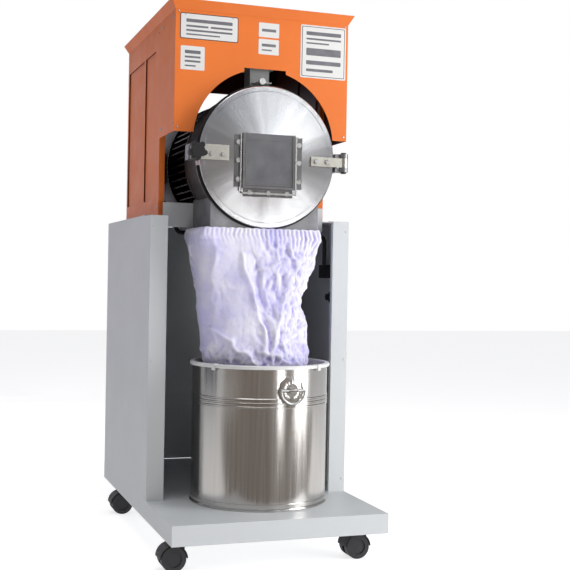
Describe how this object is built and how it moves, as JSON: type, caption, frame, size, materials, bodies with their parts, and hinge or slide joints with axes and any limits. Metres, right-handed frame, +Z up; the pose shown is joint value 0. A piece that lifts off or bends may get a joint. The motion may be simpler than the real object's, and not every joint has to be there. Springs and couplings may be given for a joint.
{
  "type": "hammer mill",
  "caption": "Domestic hammer mill: hopper hood over an openable grinding chamber with motor, cloth sleeve and bin in a cabinet on castors.",
  "frame": {"origin": "on the floor under the middle of the bounding box", "axes": "+X to the machine's right seen from the front, front and door towards -Y, +Z up"},
  "size_m": [0.483, 0.76, 1.163],
  "materials": {
    "powder_white": "satin powder coat",
    "powder_orange": "satin powder coat",
    "zinc": "zinc plated",
    "steel": "plain steel",
    "turned": "turned",
    "stainless": "polished",
    "cast": "machined casting",
    "motor_paint": "gloss enamel",
    "cowl_paint": "satin",
    "rubber": "matt",
    "lead": "matt",
    "black_plastic": "moulded",
    "window": "smoked acrylic",
    "white_plastic": "moulded",
    "red_plastic": "moulded",
    "cloth": "woven cotton",
    "copper": "varnished winding"
  },
  "bodies": {
    "stand": {"base_tray": "powder_white", "castor_plates": "zinc", "left_side_panel": "powder_white", "right_side_panel": "powder_white", "lower_back_panel": "powder_white", "upper_back_panel": "powder_white", "motor_deck": "powder_white", "machine_screws": "zinc", "hood_left_leg": "powder_orange", "hood_right_leg": "powder_orange", "hood_back_panel": "powder_orange", "hood_front_cover": "powder_orange", "hopper": "powder_orange", "feed_chute": "zinc", "drum_shell": "steel", "drum_back_plate": "cast", "chamber_gasket": "rubber", "screen": "steel", "outlet_box": "steel", "drum_lugs": "cast", "hinge_pin": "cast", "motor_frame": "motor_paint", "motor_end_shields": "motor_paint", "stator": "copper", "bearings": "steel", "fan_cowl": "cowl_paint", "terminal_box": "black_plastic", "capacitor": "black_plastic", "motor_lead": "lead", "switch_housing": "black_plastic", "filter_bag": "cloth"},
    "gate": {"feed_gate": "zinc"},
    "door": {"chamber_door": "turned", "window_guide": "zinc", "door_straps": "zinc", "door_bolts": "zinc"},
    "window": {"window_plate": "window"},
    "knob": {"star_knob": "black_plastic"},
    "rotor": {"motor_shaft": "steel", "rotor_core": "steel", "rotor_hub": "steel", "rotor_nut": "zinc", "cooling_fan": "black_plastic"},
    "hammer_a": {"hammer_1": "steel"},
    "hammer_b": {"hammer_2": "steel"},
    "hammer_c": {"hammer_3": "steel"},
    "hammer_d": {"hammer_4": "steel"},
    "rocker": {"switch_rocker": "red_plastic"},
    "bin": {"bin_body": "stainless", "bin_ring": "white_plastic"},
    "handle_front": {"bin_handle_front": "stainless"},
    "handle_rear": {"bin_handle_rear": "stainless"},
    "castor_fl": {"castor_fl_fork": "black_plastic"},
    "wheels_fl": {"castor_fl_wheels": "black_plastic"},
    "castor_fr": {"castor_fr_fork": "black_plastic"},
    "wheels_fr": {"castor_fr_wheels": "black_plastic"},
    "castor_rl": {"castor_rl_fork": "black_plastic"},
    "wheels_rl": {"castor_rl_wheels": "black_plastic"},
    "castor_rr": {"castor_rr_fork": "black_plastic"},
    "wheels_rr": {"castor_rr_wheels": "black_plastic"}
  },
  "joints": [
    {"name": "door_hinge", "type": "hinge", "parent": "stand", "child": "door", "pos_m": [0.1745, -0.23, 0.834], "axis": [0, 0, 1], "range_deg": [0, 115]},
    {"name": "window_slide", "type": "slide", "parent": "door", "child": "window", "axis": [0, 0, 1], "range_m": [0, 0.11]},
    {"name": "knob_spin", "type": "hinge", "parent": "door", "child": "knob", "pos_m": [-0.157, -0.25, 0.842], "axis": [0, 1, 0], "continuous": true},
    {"name": "gate_slide", "type": "slide", "parent": "stand", "child": "gate", "axis": [0, -1, 0], "range_m": [0, 0.037]},
    {"name": "rotor_spin", "type": "hinge", "parent": "stand", "child": "rotor", "pos_m": [0, 0, 0.838], "axis": [0, 1, 0], "continuous": true},
    {"name": "hammer_a_swing", "type": "hinge", "parent": "rotor", "child": "hammer_a", "pos_m": [0.04101, -0.187, 0.87901], "axis": [0, 1, 0], "range_deg": [-275, 10]},
    {"name": "hammer_b_swing", "type": "hinge", "parent": "rotor", "child": "hammer_b", "pos_m": [-0.04101, -0.153, 0.87901], "axis": [0, 1, 0], "range_deg": [-10, 275]},
    {"name": "hammer_c_swing", "type": "hinge", "parent": "rotor", "child": "hammer_c", "pos_m": [-0.04101, -0.187, 0.79699], "axis": [0, 1, 0], "range_deg": [-85, 185]},
    {"name": "hammer_d_swing", "type": "hinge", "parent": "rotor", "child": "hammer_d", "pos_m": [0.04101, -0.153, 0.79699], "axis": [0, 1, 0], "range_deg": [-185, 85]},
    {"name": "rocker_tilt", "type": "hinge", "parent": "stand", "child": "rocker", "pos_m": [0.2245, -0.04, 0.6], "axis": [0, 0, 1], "range_deg": [-16, 0]},
    {"name": "bin_slide", "type": "slide", "parent": "stand", "child": "bin", "axis": [0, -1, 0], "range_m": [0, 0.2]},
    {"name": "handle_front_swing", "type": "hinge", "parent": "bin", "child": "handle_front", "pos_m": [0.03815, -0.3145, 0.351], "axis": [0.9877, 0.1564, 0], "range_deg": [-85, 0]},
    {"name": "handle_rear_swing", "type": "hinge", "parent": "bin", "child": "handle_rear", "pos_m": [-0.01015, -0.0095, 0.351], "axis": [-0.9877, -0.1564, 0], "range_deg": [-85, 0]},
    {"name": "castor_fl_swivel", "type": "hinge", "parent": "stand", "child": "castor_fl", "pos_m": [-0.196, -0.317, 0.05], "axis": [0, 0, 1], "continuous": true},
    {"name": "castor_fl_roll", "type": "hinge", "parent": "castor_fl", "child": "wheels_fl", "pos_m": [-0.213, -0.317, 0.025], "axis": [0, 1, 0], "continuous": true},
    {"name": "castor_fr_swivel", "type": "hinge", "parent": "stand", "child": "castor_fr", "pos_m": [0.196, -0.317, 0.05], "axis": [0, 0, 1], "continuous": true},
    {"name": "castor_fr_roll", "type": "hinge", "parent": "castor_fr", "child": "wheels_fr", "pos_m": [0.179, -0.317, 0.025], "axis": [0, 1, 0], "continuous": true},
    {"name": "castor_rl_swivel", "type": "hinge", "parent": "stand", "child": "castor_rl", "pos_m": [-0.196, 0.225, 0.05], "axis": [0, 0, 1], "continuous": true},
    {"name": "castor_rl_roll", "type": "hinge", "parent": "castor_rl", "child": "wheels_rl", "pos_m": [-0.213, 0.225, 0.025], "axis": [0, 1, 0], "continuous": true},
    {"name": "castor_rr_swivel", "type": "hinge", "parent": "stand", "child": "castor_rr", "pos_m": [0.196, 0.225, 0.05], "axis": [0, 0, 1], "continuous": true},
    {"name": "castor_rr_roll", "type": "hinge", "parent": "castor_rr", "child": "wheels_rr", "pos_m": [0.213, 0.225, 0.025], "axis": [0, 1, 0], "continuous": true}
  ]
}
